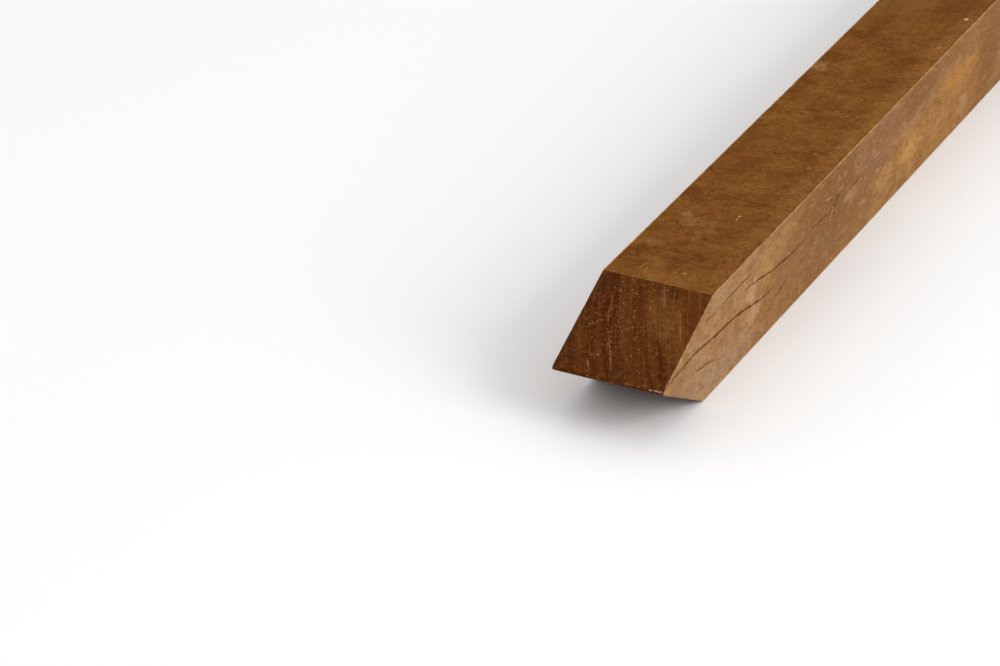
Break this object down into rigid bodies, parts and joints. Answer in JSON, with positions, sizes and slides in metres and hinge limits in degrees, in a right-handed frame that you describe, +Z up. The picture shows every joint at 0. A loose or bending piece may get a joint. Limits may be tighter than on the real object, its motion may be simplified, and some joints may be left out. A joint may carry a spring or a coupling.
{
  "type": "hardwood post",
  "caption": "Square-sawn solid hardwood post with a two-sided wedge driving point at one end and a square-cut head at the other.",
  "frame": {"origin": "on the underside, halfway along the post and midway across it", "axes": "+Y along the post towards its square head, with the driving point at -Y; +Z up from the face it lies on; +X across the post, to the right as seen from the point"},
  "size_m": [0.06, 1.5, 0.06],
  "materials": {
    "hardwood": "rough-sawn, unfinished"
  },
  "bodies": {
    "root": {"post": "hardwood"}
  },
  "joints": []
}
